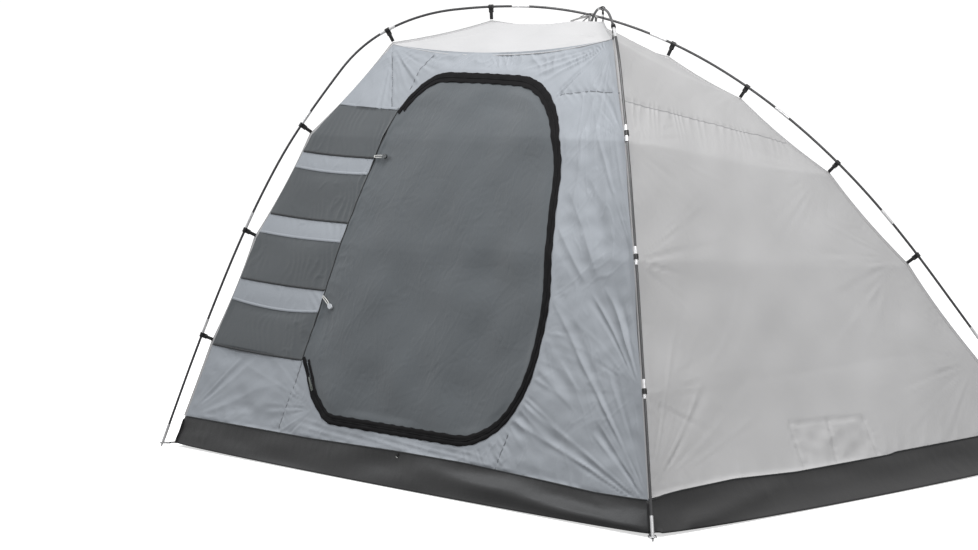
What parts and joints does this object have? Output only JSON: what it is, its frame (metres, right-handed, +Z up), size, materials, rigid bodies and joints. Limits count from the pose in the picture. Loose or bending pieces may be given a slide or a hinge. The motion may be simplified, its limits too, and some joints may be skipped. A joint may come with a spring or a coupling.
{
  "type": "dome tent inner with poles",
  "caption": "Hook-hung dome tent inner on crossed sectional poles, with bathtub floor, D-shaped zipped door and mesh vent bands.",
  "frame": {"origin": "on the ground at the middle of the four pole feet", "axes": "+X along the wide side, -Y out of the door wall, +Z up"},
  "size_m": [2.8194, 2.1728, 1.7275],
  "materials": {
    "pole_rod": "satin glass fibre",
    "ferrule": "brushed",
    "pin_steel": "satin",
    "cord": "braided",
    "black_plastic": "moulded",
    "black_webbing": "woven",
    "grey_tape": "woven",
    "wall_cloth": "plain weave",
    "side_cloth": "plain weave",
    "roof_cloth": "plain weave",
    "tub_cloth": "coated",
    "door_cloth": "fine mesh over cloth",
    "mesh": "fine mesh",
    "zip_tape": "woven",
    "zip_coil": "moulded",
    "slider_metal": "enamelled",
    "dark_toggle": "moulded",
    "light_toggle": "moulded",
    "ring_steel": "zinc plated"
  },
  "bodies": {
    "tent": {"back_wall": "side_cloth", "clip_hooks": "black_plastic", "clip_webbing": "black_webbing", "corner_rings": "ring_steel", "corner_webbing": "black_webbing", "crossing_tie": "grey_tape", "end_ferrules": "ferrule", "foot_pins": "pin_steel", "front_wall_lower": "wall_cloth", "front_wall_lower_left": "wall_cloth", "front_wall_right": "wall_cloth", "front_wall_top": "wall_cloth", "front_wall_upper_left": "wall_cloth", "groundsheet": "tub_cloth", "light_band_1": "wall_cloth", "light_band_2": "wall_cloth", "light_band_3": "wall_cloth", "mesh_band_1": "mesh", "mesh_band_2": "mesh", "mesh_band_3": "mesh", "mesh_band_4": "mesh", "organiser_pocket": "side_cloth", "pole_a_rod_01": "pole_rod", "pole_a_rod_02": "pole_rod", "pole_a_rod_03": "pole_rod", "pole_a_rod_04": "pole_rod", "pole_a_rod_05": "pole_rod", "pole_a_rod_06": "pole_rod", "pole_a_rod_07": "pole_rod", "pole_a_rod_08": "pole_rod", "pole_a_rod_09": "pole_rod", "pole_a_rod_10": "pole_rod", "pole_b_rod_01": "pole_rod", "pole_b_rod_02": "pole_rod", "pole_b_rod_03": "pole_rod", "pole_b_rod_04": "pole_rod", "pole_b_rod_05": "pole_rod", "pole_b_rod_06": "pole_rod", "pole_b_rod_07": "pole_rod", "pole_b_rod_08": "pole_rod", "pole_b_rod_09": "pole_rod", "pole_b_rod_10": "pole_rod", "ridge_bindings": "wall_cloth", "rod_ferrules": "ferrule", "roof_panel": "roof_cloth", "shock_cords": "cord", "side_wall_left": "side_cloth", "side_wall_right": "side_cloth", "tub_loop": "cord", "zip_coil_wall": "zip_coil", "zip_tape_wall": "zip_tape"},
    "door": {"door_panel": "door_cloth", "zip_tape_door": "zip_tape", "zip_coil_door": "zip_coil"},
    "slider": {"zip_slider": "slider_metal"},
    "pull": {"zip_pull": "slider_metal"},
    "toggle_a": {"toggle_loop_upper": "cord", "toggle_upper": "dark_toggle"},
    "toggle_b": {"toggle_loop_lower": "cord", "toggle_lower": "light_toggle"}
  },
  "joints": [
    {"name": "door_swing", "type": "hinge", "parent": "tent", "child": "door", "pos_m": [-0.63099, -0.9685, 0.41355], "axis": [-0.2055, -0.318, -0.9256], "range_deg": [0, 110]},
    {"name": "zip_slider_slide", "type": "slide", "parent": "tent", "child": "slider", "axis": [-0.5482, 0.2051, 0.8108], "range_m": [0, 0.11]},
    {"name": "zip_pull_swing", "type": "hinge", "parent": "slider", "child": "pull", "pos_m": [-0.53982, -0.97227, 0.30648], "axis": [0.8364, 0.1345, 0.5314], "range_deg": [0, 165]},
    {"name": "upper_toggle_swing", "type": "hinge", "parent": "door", "child": "toggle_a", "pos_m": [-0.45229, -0.71022, 1.16619], "axis": [0.0411, -0.3372, -0.9405], "range_deg": [0, 55]},
    {"name": "lower_toggle_swing", "type": "hinge", "parent": "door", "child": "toggle_b", "pos_m": [-0.56905, -0.88257, 0.63974], "axis": [-0.534, -0.226, -0.8147], "range_deg": [0, 55]}
  ]
}
